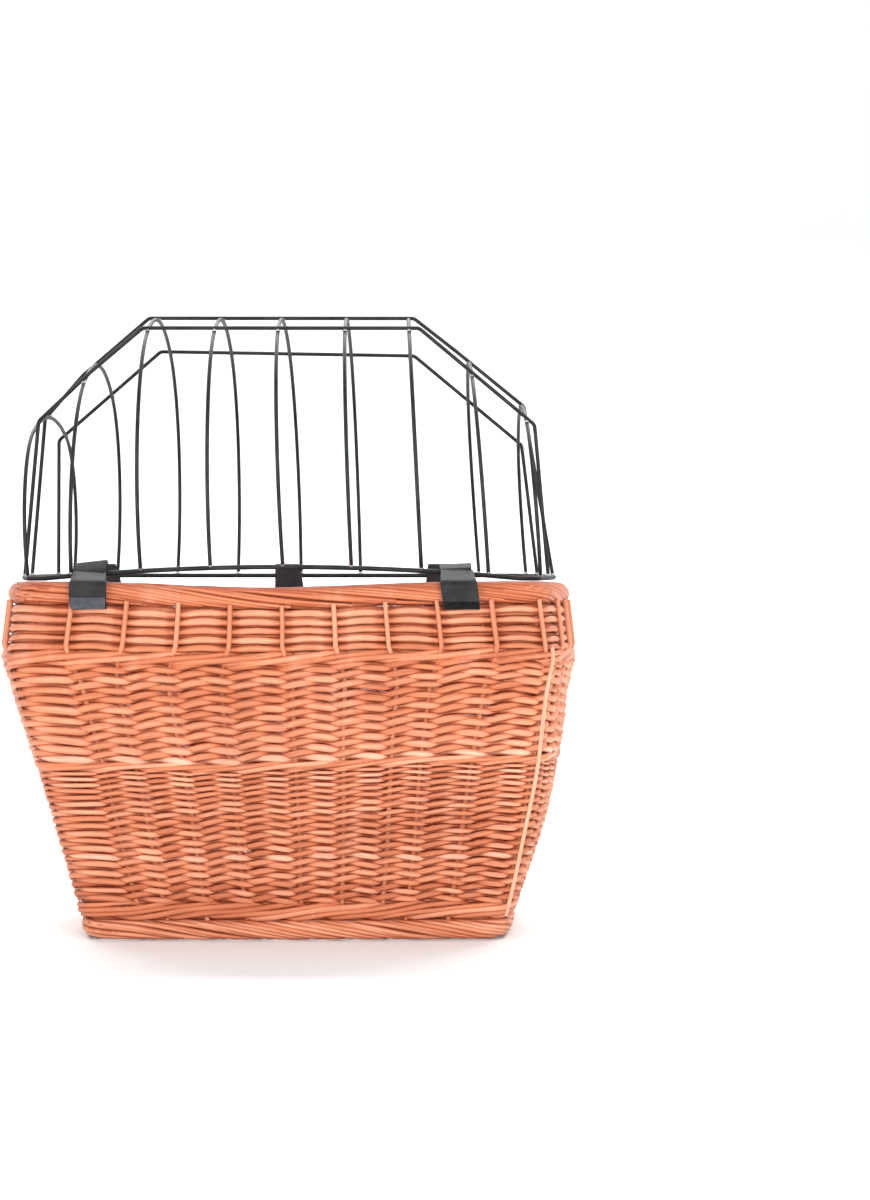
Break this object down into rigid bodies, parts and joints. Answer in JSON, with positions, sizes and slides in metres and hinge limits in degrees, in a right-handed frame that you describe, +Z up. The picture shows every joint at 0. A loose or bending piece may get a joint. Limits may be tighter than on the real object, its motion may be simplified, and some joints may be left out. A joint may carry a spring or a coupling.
{
  "type": "dog bicycle basket",
  "caption": "Willow bicycle basket for a small dog, with a welded wire guard that hinges on rear straps and is held shut by front straps.",
  "frame": {"origin": "on the floor, under the middle of the body's bounding box", "axes": "+Z up, +X to the right of someone who faces the front straps, +Y from the front straps to the hinge straps"},
  "size_m": [0.5388, 0.3933, 0.5725],
  "materials": {
    "willow_weave": "buff peeled willow, woven, satin",
    "willow_rod": "buff peeled willow rod, satin",
    "frame_wire": "black plastic-coated steel wire",
    "grille_wire": "black plastic-coated steel wire, thin",
    "strap": "black imitation leather, matt",
    "hook_strip": "black hook strip"
  },
  "bodies": {
    "basket": {"foot_border": "willow_weave", "foot_wale": "willow_weave", "lower_weave": "willow_weave", "lower_wale": "willow_weave", "middle_weave": "willow_weave", "upper_wale": "willow_weave", "upper_weave": "willow_weave", "rim_border": "willow_weave", "base_panel": "willow_weave", "stakes": "willow_rod", "corner_posts": "willow_rod", "base_sticks": "willow_rod", "front_tab_left": "strap", "front_tab_right": "strap", "hook_patch_left": "hook_strip", "hook_patch_right": "hook_strip", "rear_strap_left": "strap", "rear_strap_centre": "strap", "rear_strap_right": "strap"},
    "guard": {"guard_frame": "frame_wire", "guard_rib_1": "grille_wire", "guard_rib_2": "grille_wire", "guard_rib_3": "grille_wire", "guard_rib_4": "grille_wire", "guard_rib_5": "grille_wire", "guard_rib_6": "grille_wire", "guard_rib_7": "grille_wire", "guard_rib_8": "grille_wire", "guard_rib_9": "grille_wire", "crown_rail": "grille_wire", "front_rail": "grille_wire", "rear_rail": "grille_wire", "front_loop_left": "strap", "front_loop_right": "strap"},
    "left_flap": {"front_strap_left": "strap"},
    "right_flap": {"front_strap_right": "strap"}
  },
  "joints": [
    {"name": "guard_hinge", "type": "hinge", "parent": "basket", "child": "guard", "pos_m": [0, 0.168, 0.32905], "axis": [-1, 0, 0], "range_deg": [0, 75]},
    {"name": "left_flap_turn", "type": "hinge", "parent": "guard", "child": "left_flap", "pos_m": [-0.16868, -0.17825, 0.32802], "axis": [-1, 0, 0], "range_deg": [0, 105]},
    {"name": "right_flap_turn", "type": "hinge", "parent": "guard", "child": "right_flap", "pos_m": [0.15207, -0.17825, 0.32925], "axis": [-1, 0, 0], "range_deg": [0, 105]}
  ]
}
